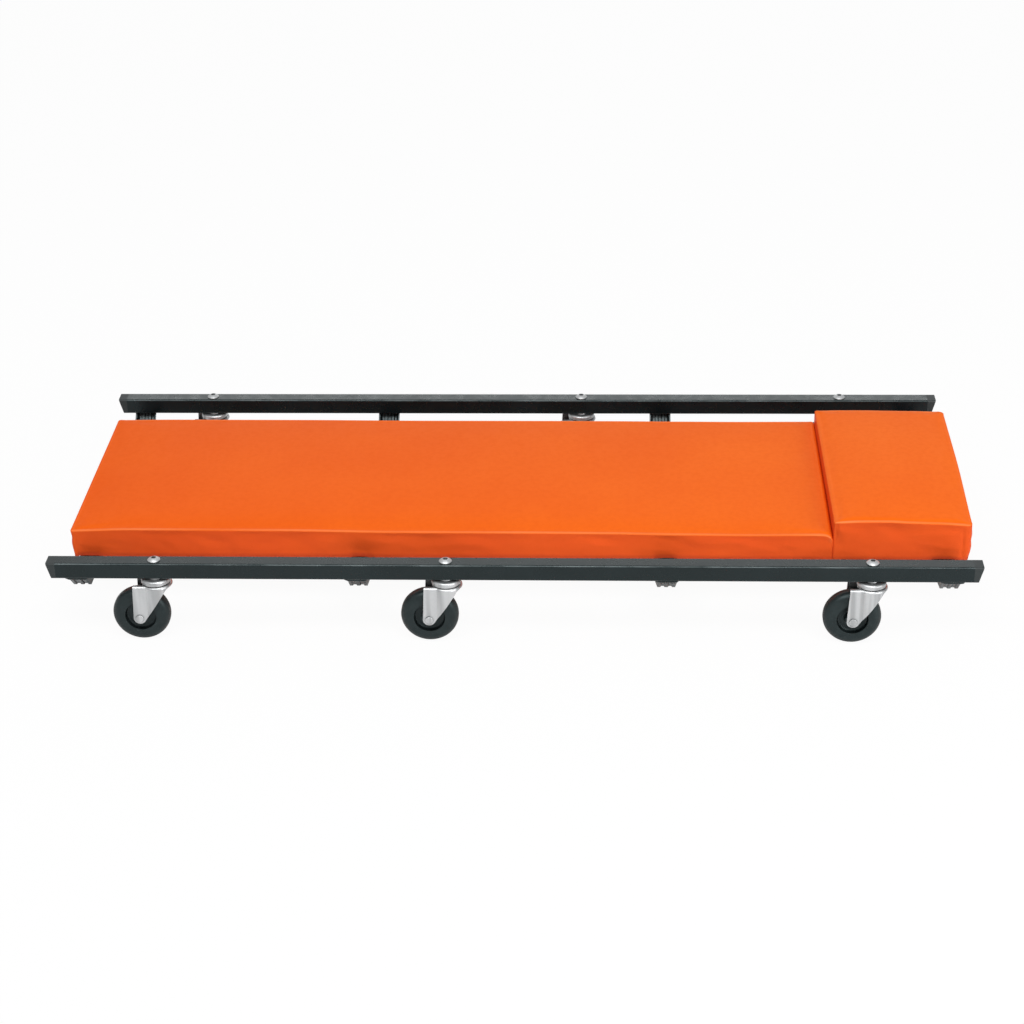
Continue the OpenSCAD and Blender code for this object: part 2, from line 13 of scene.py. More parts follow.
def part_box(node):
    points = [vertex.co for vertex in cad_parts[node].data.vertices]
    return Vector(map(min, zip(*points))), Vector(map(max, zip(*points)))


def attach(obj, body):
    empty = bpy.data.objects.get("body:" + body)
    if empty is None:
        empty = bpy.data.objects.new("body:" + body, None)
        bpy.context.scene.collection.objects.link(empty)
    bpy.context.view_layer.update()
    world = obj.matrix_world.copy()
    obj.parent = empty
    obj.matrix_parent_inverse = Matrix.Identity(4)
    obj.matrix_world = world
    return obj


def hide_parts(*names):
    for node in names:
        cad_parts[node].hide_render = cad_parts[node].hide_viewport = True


MM = 0.001

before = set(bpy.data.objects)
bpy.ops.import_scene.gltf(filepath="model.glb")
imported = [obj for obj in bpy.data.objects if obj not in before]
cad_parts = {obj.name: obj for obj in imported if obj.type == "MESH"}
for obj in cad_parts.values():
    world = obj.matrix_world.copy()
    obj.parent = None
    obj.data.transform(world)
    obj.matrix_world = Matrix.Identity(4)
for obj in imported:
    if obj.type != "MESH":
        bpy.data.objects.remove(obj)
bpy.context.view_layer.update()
scene = bpy.context.scene

# Camera, as fitted to the photograph's square frame

CAMERA_PLACE = (0.1074, -2.2619, 1.2933)
CAMERA_YAW, CAMERA_PITCH, CAMERA_ROLL = 2.9173, 28.8355, 1.2087
CAMERA_LENS, CAMERA_SENSOR, CAMERA_CLIP = 77.2809, 36.0, (0.1, 50)


def place_camera():
    """Points the camera by its yaw about Z, its pitch below the horizon and its roll, in degrees."""
    yaw, pitch, roll = (math.radians(a) for a in (CAMERA_YAW, CAMERA_PITCH, CAMERA_ROLL))
    level = Vector((math.cos(yaw), math.sin(yaw), 0))
    reach = math.cos(pitch)
    ahead = Vector((-math.sin(yaw) * reach, math.cos(yaw) * reach, -math.sin(pitch)))
    upright = level.cross(ahead)
    right = math.cos(roll) * level - math.sin(roll) * upright
    up = math.sin(roll) * level + math.cos(roll) * upright
    camera = bpy.data.objects.new("camera", bpy.data.cameras.new("camera"))
    camera.data.lens = CAMERA_LENS
    camera.data.sensor_width = CAMERA_SENSOR
    camera.data.clip_start, camera.data.clip_end = CAMERA_CLIP
    turn = Matrix((right, up, -ahead)).transposed().to_4x4()
    camera.matrix_world = Matrix.Translation(CAMERA_PLACE) @ turn
    scene.collection.objects.link(camera)
    scene.camera = camera


# Materials

# Rays that each shading point sends out to find how deep in a corner it lies, for the shade that is
# painted there
NOOK_SAMPLES = 8


def rgb(code):
    """Linear colour of a six-digit display colour."""
    parts = [int(code[i : i + 2], 16) / 255 for i in (0, 2, 4)]
    return [p / 12.92 if p <= 0.04045 else ((p + 0.055) / 1.055) ** 2.4 for p in parts] + [1]


class Look:
    """A material in the making: its Principled shader, and short ways to add the nodes that feed it."""

    def __init__(self, name, **constants):
        self.material = bpy.data.materials.new(name)
        self.material.use_nodes = True
        self.tree = self.material.node_tree
        self.shader = self.tree.nodes["Principled BSDF"]
        for socket, value in constants.items():
            self.shader.inputs[socket.replace("_", " ")].default_value = value
        self.place = self.add("ShaderNodeTexCoord").outputs["Object"]

    def add(self, kind, values=None, **settings):
        """A node with its settings, and its inputs by name or number, each a socket or a value."""
        node = self.tree.nodes.new(kind)
        for key, value in settings.items():
            setattr(node, key, value)
        for key, value in (values or {}).items():
            if isinstance(value, bpy.types.NodeSocket):
                self.tree.links.new(value, node.inputs[key])
            else:
                node.inputs[key].default_value = value
        return node

    def scaled(self, scale, place=None):
        """The object's own coordinates times scale, one number for each axis."""
        values = {0: place or self.place, 1: scale}
        return self.add("ShaderNodeVectorMath", values, operation="MULTIPLY").outputs[0]

    def noise(self, size, detail=2.0, rough=0.5, place=None, twist=0.0):
        """Smooth noise from 0 to 1 whose lumps are about size metres across."""
        values = {"Vector": place or self.place, "Scale": 1 / size, "Detail": detail}
        values.update({"Roughness": rough, "Distortion": twist})
        return self.add("ShaderNodeTexNoise", values).outputs["Fac"]

    def cells(self, size):
        """Distance within cells that are about size metres across."""
        values = {"Vector": self.place, "Scale": 1 / size}
        return self.add("ShaderNodeTexVoronoi", values).outputs["Distance"]

    def span(self, value, low, high, start=0.0, end=1.0):
        """value taken from the range start to end into the range low to high."""
        values = {"Value": value, "From Min": start, "From Max": end, "To Min": low, "To Max": high}
        return self.add("ShaderNodeMapRange", values).outputs["Result"]

    def math(self, operation, a, b=0.0):
        """One step of arithmetic on sockets or plain numbers."""
        return self.add("ShaderNodeMath", {0: a, 1: b}, operation=operation).outputs[0]

    def axis(self, name, vector=None):
        """One coordinate of a vector, which is the object's own place unless given."""
        return self.add("ShaderNodeSeparateXYZ", {0: vector or self.place}).outputs[name]

    def blend(self, share, a, b):
        """Colour a where share is 0 and b where it is 1."""
        return self.add("ShaderNodeMix", {0: share, 6: a, 7: b}, data_type="RGBA").outputs[2]

    def painted_nook_shade(self, reach, steepness=1.0):
        """1 in the open, falling to 0 in corners and sockets that are narrower than reach, for painting
        shade into them.
        """
        node = self.add("ShaderNodeAmbientOcclusion", {"Distance": reach}, samples=NOOK_SAMPLES)
        return self.math("POWER", node.outputs["AO"], steepness)

    def long_edges(self):
        """1 on the rounded edges that run along X, and 0 on the faces between them."""
        normal = self.add("ShaderNodeNewGeometry").outputs["True Normal"]
        both = self.math("MULTIPLY", self.axis("Y", normal), self.axis("Z", normal))
        slope = self.math("ABSOLUTE", both)
        return self.span(slope, 0, 1, 0.3, 0.5)

    def bump(self, *layers):
        """Stacks layers of (height from 0 to 1, depth in metres) into one normal."""
        normal = None
        for height, depth in layers:
            values = {"Height": height, "Distance": depth}
            if normal:
                values["Normal"] = normal
            normal = self.add("ShaderNodeBump", values).outputs["Normal"]
        return normal

    def finish(self, **sockets):
        """Links what is given to the shader's sockets and returns the material."""
        for name, socket in sockets.items():
            self.tree.links.new(socket, self.shader.inputs[name.replace("_", " ")])
        return self.material


COOL_GLOSS, WARM_GLOSS = (0.8, 0.98, 1.0, 1), (1.0, 0.5, 0.2, 1)


def powder_coat():
    """Black powder coat with a fine orange peel, paler in patches, and a painted highlight in broken
    stretches along its long edges.
    """
    look = Look("powder coat", Specular_IOR_Level=0.39, Specular_Tint=COOL_GLOSS)
    patches = look.noise(60 * MM, detail=4)
    grain = look.noise(0.9 * MM, detail=1)
    color = look.blend(look.span(patches, 0, 1, 0.35, 0.7), rgb("0a1011"), rgb("12191b"))
    # Painted highlight: a paler grey in patches along the rounded long edges
    edge_highlight_patches = look.span(look.noise(45 * MM, detail=3, twist=0.4), 0.1, 0.75, 0.4, 0.65)
    color = look.blend(look.math("MULTIPLY", look.long_edges(), edge_highlight_patches), color, rgb("656c6d"))
    rough = look.span(look.noise(14 * MM, detail=3), 0.24, 0.33, 0.3, 0.7)
    peel = look.noise(2.2 * MM, detail=1)
    return look.finish(
        Base_Color=color, Roughness=rough, Normal=look.bump((peel, 0.03 * MM), (grain, 0.012 * MM))
    )


def cap_plastic():
    """Moulded plastic with a fine spark-eroded grain."""
    look = Look("cap plastic", Specular_IOR_Level=0.5)
    color = look.blend(look.noise(9 * MM, detail=3), rgb("1e2526"), rgb("272e2f"))
    grain = look.cells(0.7 * MM)
    rough = look.span(look.noise(1.5 * MM), 0.48, 0.6)
    return look.finish(Base_Color=color, Roughness=rough, Normal=look.bump((grain, 0.04 * MM)))


# Width of the mould's rings as a share of the wheel's diameter
RINGS_SHARE = 0.012


def wheel_plastic():
    """Hard black wheel: fine rings from its mould round the axle, and scuffs in its tone and roughness.
    """
    look = Look("wheel plastic", Specular_IOR_Level=0.42, Specular_Tint=COOL_GLOSS)
    share = look.add("ShaderNodeTexCoord").outputs["Generated"]
    values = {0: share, 1: (0.5, 0.5, 0.5)}
    centred = look.add("ShaderNodeVectorMath", values, operation="SUBTRACT").outputs[0]
    flat = look.scaled((1, 0, 1), centred)
    radius = look.add("ShaderNodeVectorMath", {0: flat}, operation="LENGTH").outputs["Value"]
    turned = look.add("ShaderNodeCombineXYZ", {"X": radius}).outputs[0]
    rings = look.noise(RINGS_SHARE, detail=2, place=turned)
    scuffs = look.noise(7 * MM, detail=4)
    color = look.blend(look.span(scuffs, 0, 1, 0.4, 0.75), rgb("131a1b"), rgb("1d2425"))
    # Painted shade: near black in the wheel's recesses and corners
    color = look.blend(look.painted_nook_shade(9 * MM), rgb("040607"), color)
    rough = look.span(scuffs, 0.34, 0.48, 0.3, 0.7)
    grain = look.noise(0.8 * MM)
    return look.finish(
        Base_Color=color, Roughness=rough, Normal=look.bump((rings, 0.02 * MM), (grain, 0.015 * MM))
    )


def zinc():
    """Zinc-plated pressed sheet: pale metal with faint spangle, fine marks of the press, broad vertical
    bands that are partly drawing marks and partly painted reflection, and painted shade in its corners.
    """
    look = Look("zinc plate", Metallic=0.85)
    spangle = look.cells(2.6 * MM)
    marks = look.noise(0.5 * MM, detail=2, place=look.scaled((1, 1, 0.12)))
    cloud = look.noise(8 * MM, detail=3)
    # Broad vertical bands of paler and darker grey: partly drawing marks of the press, partly painted
    # reflection banding
    drawn = look.noise(7 * MM, detail=1, place=look.scaled((1, 1, 0.07)))
    color = look.blend(look.span(drawn, 0, 1, 0.4, 0.6), rgb("b2b4b5"), rgb("cfd1d2"))
    color = look.blend(look.span(spangle, 0, 0.12), color, rgb("a6a9ab"))
    # Painted shade: darker in corners and nooks, where shade falls
    color = look.blend(look.painted_nook_shade(5 * MM, 1.3), rgb("606263"), color)
    rough = look.math("ADD", look.span(cloud, 0.34, 0.42, 0.3, 0.7), look.span(marks, -0.03, 0.03))
    return look.finish(
        Base_Color=color, Roughness=rough, Normal=look.bump((marks, 0.006 * MM), (cloud, 0.02 * MM))
    )


def bright_steel():
    """Bright plated steel with fine turning marks, and painted shade that darkens its sockets and
    corners.
    """
    look = Look("bright steel", Metallic=1.0)
    marks = look.noise(0.35 * MM, detail=2)
    cloud = look.noise(5 * MM, detail=2)
    color = look.blend(cloud, rgb("b4b6b7"), rgb("c8cacb"))
    # Painted shade: near black in the sockets and corners
    color = look.blend(look.painted_nook_shade(3 * MM, 1.3), rgb("1c1c1d"), color)
    rough = look.span(look.noise(2 * MM, detail=3), 0.42, 0.52)
    return look.finish(Base_Color=color, Roughness=rough, Normal=look.bump((marks, 0.004 * MM)))


PLY_T = 1.5 * MM


def plywood():
    """Plain birch plywood: long grain on its faces, and its plies as bands of depth."""
    look = Look("plywood", Specular_IOR_Level=0.3)
    long_place = look.scaled((0.08, 1, 1))
    rings = look.noise(11 * MM, detail=4, rough=0.6, place=long_place, twist=0.6)
    fibre = look.noise(0.8 * MM, detail=2, place=look.scaled((0.03, 1, 1)))
    color = look.blend(look.span(rings, 0, 1, 0.3, 0.7), rgb("c79d68"), rgb("dcb988"))
    color = look.blend(look.span(fibre, 0, 0.35, 0.5, 0.75), color, rgb("a87c4a"))
    ply = look.math("PINGPONG", look.axis("Z"), PLY_T)
    color = look.blend(look.span(ply, 0.18, 0, 0, PLY_T), color, rgb("8a6238"))
    rough = look.span(fibre, 0.55, 0.72)
    return look.finish(Base_Color=color, Roughness=rough, Normal=look.bump((fibre, 0.05 * MM)))


def foam():
    """Open-cell foam: pale, matt and full of small pores."""
    look = Look("foam", Specular_IOR_Level=0.2)
    pores = look.cells(1.6 * MM)
    cloud = look.noise(30 * MM, detail=3)
    color = look.blend(look.span(pores, 0, 1, 0.1, 0.5), rgb("cdbf94"), rgb("efe6c6"))
    color = look.blend(look.span(cloud, 0, 0.25), color, rgb("e2d3a4"))
    rough = look.span(pores, 0.85, 0.95)
    return look.finish(Base_Color=color, Roughness=rough, Normal=look.bump((pores, 0.4 * MM)))


# Numbers that the covers keep for their vinyl: where a highlight is painted along the top edge and at a
# corner, and painted shade, which is 0 on the top panel, 1 on the side panel and 2 at its foot
PAINTED_HIGHLIGHT, PAINTED_SHADE = "painted_highlight", "painted_shade"


def vinyl():
    """Satin orange vinyl with a fine pressed grain, painted a little lighter towards the head, with
    painted shade on its sides and a painted highlight along its top edge.
    """
    look = Look("vinyl", Specular_IOR_Level=0.05, Specular_Tint=WARM_GLOSS)
    cloud = look.noise(120 * MM, detail=3)
    mottle = look.noise(6 * MM, detail=3)
    painted_shade = look.add("ShaderNodeAttribute", attribute_name=PAINTED_SHADE).outputs["Fac"]
    painted_highlight = look.add("ShaderNodeAttribute", attribute_name=PAINTED_HIGHLIGHT).outputs["Fac"]
    panel = look.span(cloud, 0, 1, 0.3, 0.7)
    # Painted light: the top panel runs from a dimmer orange at the foot to a lighter one at the head,
    # as if lit more from the head end
    top_dim_at_foot = look.blend(panel, rgb("ed5d0b"), rgb("f1620d"))
    top_lit_at_head = look.blend(panel, rgb("f2670f"), rgb("f66d13"))
    top = look.blend(look.span(look.axis("X"), 0, 1, -0.5, 0.5), top_dim_at_foot, top_lit_at_head)
    # Painted shade: a darker copy of the same orange for the side panel
    side = look.blend(panel, rgb("e35424"), rgb("e95b25"))
    color = look.blend(look.span(painted_shade, 0, 1), top, side)
    # More painted shade where the side meets its foot
    color = look.blend(look.span(painted_shade, 0, 1, 1, 2), color, rgb("c24528"))
    color = look.blend(look.span(mottle, 0, 0.15, 0.4, 0.7), color, rgb("dd5018"))
    # Painted highlight: paler orange along the top edge's crease and at one corner
    color = look.blend(look.span(painted_highlight, 0, 0.55), color, rgb("ff9862"))
    pebble = look.cells(1.1 * MM)
    crease = look.noise(2.4 * MM, detail=3, rough=0.6)
    rough = look.span(mottle, 0.38, 0.46, 0.3, 0.7)
    return look.finish(
        Base_Color=color, Roughness=rough, Normal=look.bump((crease, 0.05 * MM), (pebble, 0.03 * MM))
    )


LOOKS = {
    "powder_coat": powder_coat(),
    "cap_plastic": cap_plastic(),
    "wheel_plastic": wheel_plastic(),
    "zinc": zinc(),
    "bright_steel": bright_steel(),
    "plywood": plywood(),
    "foam": foam(),
    "vinyl": vinyl(),
}


def dress_frame():
    """Gives every node of the frame the look of its own slot."""
    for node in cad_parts.values():
        for place in node.material_slots:
            place.material = LOOKS[place.material.name]


# Meshes

# Brings Blender's noise to a range of about -1 to 1
NOISE_GAIN = 1.6


def smooth(value, start, end):
    """0 before start and 1 after end, with a soft step between."""
    t = np.clip((value - start) / (end - start), 0, 1)
    return t * t * (3 - 2 * t)


def hill(value, width):
    """A soft bump of height 1 round zero."""
    return np.exp(-((value / width) ** 2))


def waves(places, size, seed):
    """Smooth noise between about -1 and 1 at each place, with lumps of that size; seed shifts it."""
    shift = Vector((seed * 7.3, seed * 3.1, seed * 5.7))
    return np.array([noise.noise(Vector(p) / size + shift) for p in places]) * NOISE_GAIN


def round_angles(count):
    """count angles, evenly once round."""
    return np.arange(count) * 2 * math.pi / count


def bands(rows, around, first=0, turn=1):
    """Faces between rows of points that each go once round; turn is -1 to face the other way."""
    faces = []
    for k in range(rows - 1):
        row, after = first + around * k, first + around * (k + 1)
        for a in range(around):
            b = (a + 1) % around
            faces.append((row + a, row + b, after + b, after + a)[::turn])
    return faces


def tube(rows, around, first, turn=1):
    """Faces of such rows as a tube that is closed at both ends."""
    last = first + around * (rows - 1)
    start = tuple(first + a for a in range(around))[::-turn]
    end = tuple(last + a for a in range(around))[::turn]
    return bands(rows, around, first, turn) + [start, end]


def make_piece(name, points, faces, slot):
    """A smooth-shaded mesh that rides on the frame, with the look of its slot."""
    mesh = bpy.data.meshes.new(name)
    mesh.from_pydata([tuple(p) for p in points], [], [tuple(int(i) for i in f) for f in faces])
    mesh.materials.append(LOOKS[slot])
    mesh.validate()
    mesh.polygons.foreach_set("use_smooth", [True] * len(mesh.polygons))
    piece = bpy.data.objects.new(name, mesh)
    scene.collection.objects.link(piece)
    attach(piece, "frame")
    return piece


def points_of(piece):
    """The piece's points, one row each."""
    flat = np.empty(len(piece.data.vertices) * 3)
    piece.data.vertices.foreach_get("co", flat)
    return flat.reshape(-1, 3)


def normals_of(piece):
    """The way that the surface faces at each point."""
    flat = np.empty(len(piece.data.vertices) * 3, np.float32)
    piece.data.vertex_normals.foreach_get("vector", flat)
    return flat.reshape(-1, 3).astype(float)


def set_points(piece, points):
    """Moves the piece's points to new places."""
    piece.data.vertices.foreach_set("co", points.astype(np.float32).ravel())
    piece.data.update()


def keep_numbers(piece, name, values):
    """Gives each point of a piece a number that its material reads by name."""
    numbers = piece.data.attributes.new(name, "FLOAT", "POINT")
    numbers.data.foreach_set("value", values.astype(np.float32))


def member_boxes():
    """Lowest and highest corner of each cross member."""
    return [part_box(name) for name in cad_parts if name.startswith("cross_member")]


def member_spans():
    """The X range of each cross member."""
    return [(low[0], high[0]) for low, high in member_boxes()]


# Pads

# Sides of a pad, in turn round it; a point of the top panel has none
NEAR, HEAD_END, FAR, FOOT_END, TOP = 0, 1, 2, 3, -1
LONG_SIDES = (NEAR, FAR)

# The cover's grid: cells on the top, finer near its outline, and steps up the sides
CELL_ALONG, CELL_ACROSS, SIDE_STEP = 8 * MM, 14 * MM, 3.6 * MM
FINE, FINE_REACH = 1.3 * MM, 13 * MM

# The cover's section: crown, top edge, lean of the side in towards its foot (of the ends, then of
# the long sides), turn at the foot, and hem, whose steps run out from its inner edge
CROWN, CROWN_POWER = 2.5 * MM, 2.6
EDGE_R, EDGE_FLAT, EDGE_ANGLES = 1.4 * MM, 1.3 * MM, (22, 45, 68, 90)
LEAN, LEAN_POWER = np.array((1.8, 0.5)) * MM, 1.6
FOOT_TURN_R, FOOT_TURN_TOP, FOOT_TURN_ANGLES = 1.3 * MM, 3.5 * MM, (10, 35, 60, 85)
HEM_W, HEM_STEPS = 24 * MM, (0, 0.12, 0.4, 0.7, 0.93)
LAST_HEM_RING = len(HEM_STEPS) - 1
COVER_T = 1 * MM

# The foam's section: height of its foot, gap to the cover, top edge, and steps up its sides
FOAM_FOOT, FOAM_GAP, FOAM_R, FOAM_STEPS = 0.1 * MM, 3 * MM, 5 * MM, (0.25, 0.5, 0.75, 1)

# How the simulation swells the cover, and how far it may move a point
CLOTH = {
    "quality": 5,
    "mass": 0.4,
    "tension_stiffness": 30,
    "compression_stiffness": 30,
    "shear_stiffness": 12,
    "bending_stiffness": 4,
    "use_pressure": True,
    "uniform_pressure_force": 4,
}
CLOTH_FRAMES = 16
SWELL = 0.8 * MM

# Shape of the sides: (depth, size) of the dents and how they lie slanted, and the heights over the
# foot and depths below the top edge between which dents and folds fade in
DENTS = ((1.1 * MM, 38 * MM), (0.65 * MM, 17 * MM))
DENT_SQUEEZE, DENT_SLANT = (1, 1, 1.6), (0.9, 0.9, 0)
FADE_FOOT, FADE_TOP, FOLD_FADE = (1 * MM, 7 * MM), (1.5 * MM, 8 * MM), 1.2
BULGE, DRAWN, DRAWN_REACH = 0.6 * MM, 0.6 * MM, (4 * MM, 60 * MM)
RIDGE, RIDGE_W, RIDGE_BELOW = 0.4 * MM, 0.8 * MM, 0.6 * MM
TUCK, TUCK_W, TUCK_RISE = 0.45 * MM, 11 * MM, (0.2 * MM, 2 * MM)
FOLD_END = 0.35

# Share of a normal along an axis from which a face begins to face that way, and does so in full
FACING = (0.45, 0.95)

# The top's sag: its share on the pad's middle line and the change to each side, and the skew's reach
SAG_MIDDLE, SAG_ACROSS, SKEW_REACH = 0.7, 0.3, (-1.2, 0.2)

# Ends: the free one stands out, the meeting one fills the gap and eases off towards its top
END_OUT, MEETING_BULGE, MEETING_EASE = 1.6 * MM, 0.97 * MM, 0.35
CORNER_DROP, CORNER_REACH = 3 * MM, 7 * MM

# Hem: its sag between the cross members, less at the staples, and its thicker mitred corners
HEM_SAG, HEM_SAG_EASE, HEM_SAG_FADE = 2.8 * MM, 0.8 * MM, (1 * MM, 14 * MM)
HEM_PULL, HEM_WAVE, HEM_WAVE_SIZE = 0.5 * MM, 0.3 * MM, 25 * MM
MITRE, MITRE_W, MITRE_REACH = 0.7 * MM, 1.3 * MM, 3 * HEM_W

# Painted highlight along the top edge's crease, stronger near the corners and weak on the ends, and a
# painted highlight patch at a corner
CREASE_BELOW, CREASE_W, CREASE_ON_ENDS = 0.4 * MM, 0.5 * MM, 0.12
HIGHLIGHT_LEVEL, HIGHLIGHT_WAVE, HIGHLIGHT_WAVE_SIZE = 0.6, 0.3, 90 * MM
HIGHLIGHT_END, HIGHLIGHT_END_REACH = 0.35, (5 * MM, 40 * MM)
CORNER_HIGHLIGHT, CORNER_HIGHLIGHT_PLACE, CORNER_HIGHLIGHT_W = 0.5, (2.5 * MM, 3 * MM), 2.6 * MM

# Bands of painted shade: depths where the side's fades in, and heights where the foot's fades out
SIDE_SHADE_BAND, FOOT_SHADE_BAND = (0.4 * MM, 1.6 * MM), (2 * MM, 6 * MM)

# Staples: half the wire's width and thickness, and its path from leg to leg as (run, rise)
STAPLE_PITCH, STAPLE_CLEAR, STAPLE_INSET, STAPLE_DROP = 42 * MM, 4 * MM, 0.62 * HEM_W, 0.35 * MM
WIRE_WIDE, WIRE_THICK, WIRE_AROUND = 0.7 * MM, 0.45 * MM, 8
STAPLE_PATH = [(-5.6, 2.2), (-5.5, 0.9), (-5, 0.15), (-4.2, -0.05), (0, -0.1)]
STAPLE_PATH = np.array(STAPLE_PATH + [(-run, rise) for run, rise in STAPLE_PATH[-2::-1]]) * MM


def spaced(length, cell):
    """Places along a side from one end to the other, closer together near both ends."""
    near = np.arange(0, FINE_REACH, FINE)
    steps = round((length - 2 * FINE_REACH) / cell)
    middle = FINE_REACH + (length - 2 * FINE_REACH) * np.arange(steps + 1) / steps
    return np.concatenate([near, middle, length - near[::-1]]) - length / 2


def round_corners(flat, half, radii):
    """Moves the points of a rectangle's grid so that its outline has round corners.

    radii are those of the foot end's corners and of the head end's.
    """
    radius = np.where(flat[:, 0] < 0, radii[0], radii[1])[:, None]
    over = np.abs(flat) - (half - radius)
    inside = (over > 0).all(axis=1)
    reach = np.maximum(np.hypot(over[:, 0], over[:, 1]), 1e-9)
    turned = half - radius + over * (over.max(axis=1) / reach)[:, None]
    return np.where(inside[:, None], np.sign(flat) * turned, flat)


def rounded_edge(height, radius, inset):
    """(z, inset) levels round a top edge, from the side to the top."""
    turns = [math.radians(angle) for angle in EDGE_ANGLES]
    return [(height - radius * (1 - math.sin(a)), inset + radius * (1 - math.cos(a))) for a in turns]


def eased(value, knots):
    """Runs smoothly through the knots, which are (place, height) pairs."""
    places, heights = zip(*knots)
    total = np.full(len(value), float(heights[0]))
    for a, b, low, high in zip(places, places[1:], heights, heights[1:]):
        total += (high - low) * smooth(value, a, b)
    return total


def line_weight(x, z, start, end, width):
    """A soft groove of depth 1 along the line between two (x, z) places, shallower at its ends."""
    run = np.array(end) - start
    share = np.clip(((x - start[0]) * run[0] + (z - start[1]) * run[1]) / (run @ run), 0, 1)
    away = np.hypot(x - start[0] - share * run[0], z - start[1] - share * run[1])
    middle = np.sin(math.pi * np.clip(share, 0.02, 0.98)) ** 0.5
    return hill(away, width) * (FOLD_END + (1 - FOLD_END) * middle)


class Pad:
    """A box cushion: rings of points up its sides, closed by a grid over its top.

    Each point keeps which side it is on, how far it is along that side from its first corner, and
    which ring it belongs to.
    """

    def __init__(self, node, radii):
        low, high = (np.array(v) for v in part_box(node))
        self.base = low[2]
        self.height = high[2] - low[2] - CROWN
        self.centre = (low[:2] + high[:2]) / 2
        self.half = (high[:2] - low[:2]) / 2
        self.radii = np.array(radii)
        self.xs = spaced(2 * self.half[0], CELL_ALONG)
        self.ys = spaced(2 * self.half[1], CELL_ACROSS)
        self.nx, self.ny = len(self.xs) - 1, len(self.ys) - 1
        self.rim = self.rim_cells()
        self.n = len(self.rim)

    def rim_cells(self):
        """Grid numbers of the outline, in turn round it from the near foot corner."""
        nx, ny = self.nx, self.ny
        near = [(i, 0) for i in range(nx)]
        head = [(nx, j) for j in range(ny)]
        far = [(i, ny) for i in range(nx, 0, -1)]
        foot = [(0, j) for j in range(ny, 0, -1)]
        return near + head + far + foot

    def rim_sides(self):
        """Side of each point of a ring, and its distance along that side."""
        length = 2 * self.half
        places = []
        for i, j in self.rim:
            x, y = self.xs[i] + self.half[0], self.ys[j] + self.half[1]
            if j == 0 and i < self.nx:
                places.append((NEAR, x))
            elif i == self.nx and j < self.ny:
                places.append((HEAD_END, y))
            elif j == self.ny and i > 0:
                places.append((FAR, length[0] - x))
            else:
                places.append((FOOT_END, length[1] - y))
        sides, along = zip(*places)
        return np.array(sides), np.array(along)

    def ring(self, inset):
        """The outline's points, set in by inset."""
        flat = np.array([(self.xs[i], self.ys[j]) for i, j in self.rim])
        half = self.half - inset
        return round_corners(flat * half / self.half, half, self.radii)

    def top(self, levels):
        """Points and faces of the crowned grid inside the last level's ring."""
        last_z, last_inset = levels[-1]
        half = self.half - last_inset
        cells = [(i, j) for j in range(1, self.ny) for i in range(1, self.nx)]
        flat = np.array([(self.xs[i], self.ys[j]) for i, j in cells]) * half / self.half
        share = np.abs(flat) / half
        rise = CROWN * (1 - share[:, 0] ** CROWN_POWER) * (1 - share[:, 1] ** CROWN_POWER)
        flat = round_corners(flat, half, self.radii)
        first = (len(levels) - 1) * self.n
        number = {cell: first + k for k, cell in enumerate(self.rim + cells)}
        faces = [
            tuple(number[i + a, j + b] for a, b in ((0, 0), (1, 0), (1, 1), (0, 1)))
            for j in range(self.ny)
            for i in range(self.nx)
        ]
        return np.column_stack([flat, last_z + rise]), faces

    def surface(self, levels, closed_foot=False):
        """Points, faces, and each point's side, distance along it and ring, for (z, inset) levels."""
        count = len(levels)
        top_points, top_faces = self.top(levels)
        points = [np.column_stack([self.ring(inset), np.full(self.n, z)]) for z, inset in levels]
        points = np.concatenate(points + [top_points])
        points[:, :2] += self.centre
        faces = bands(count, self.n) + top_faces
        if closed_foot:
            faces.append(tuple(range(self.n - 1, -1, -1)))
        sides, along = self.rim_sides()
        inner = len(top_points)
        sides = np.concatenate([np.tile(sides, count), np.full(inner, TOP)])
        along = np.concatenate([np.tile(along, count), np.zeros(inner)])
        rings = np.repeat(np.arange(count + 1), [self.n] * count + [inner])
        return points, faces, sides, along, rings

    def cover_levels(self):
        """The cover's section from its hem's inner edge, out, up the side and over the edge."""
        levels = [(0, LEAN + FOOT_TURN_R + HEM_W * (1 - t)) for t in HEM_STEPS]
        for angle in FOOT_TURN_ANGLES:
            a = math.radians(angle)
            levels.append((FOOT_TURN_R * (1 - math.cos(a)), LEAN + FOOT_TURN_R * (1 - math.sin(a))))
        rise = self.height - EDGE_R - FOOT_TURN_TOP
        steps = round(rise / SIDE_STEP)
        for k in range(steps + 1):
            t = k / steps
            levels.append((FOOT_TURN_TOP + t * rise, LEAN * (1 - t) ** LEAN_POWER))
        levels += rounded_edge(self.height, EDGE_R, 0)
        levels.append((self.height, EDGE_R + EDGE_FLAT))
        return [(self.base + z, inset) for z, inset in levels]

    def foam_levels(self):
        """The foam block's section, set in from the cover all round and rounded at its edges."""
        high = self.height - FOAM_GAP
        levels = [(FOAM_FOOT, FOAM_GAP)]
        levels += [(t * (high - FOAM_R), FOAM_GAP) for t in FOAM_STEPS]
        levels += rounded_edge(high, FOAM_R, FOAM_GAP)
        return [(self.base + z, inset) for z, inset in levels]


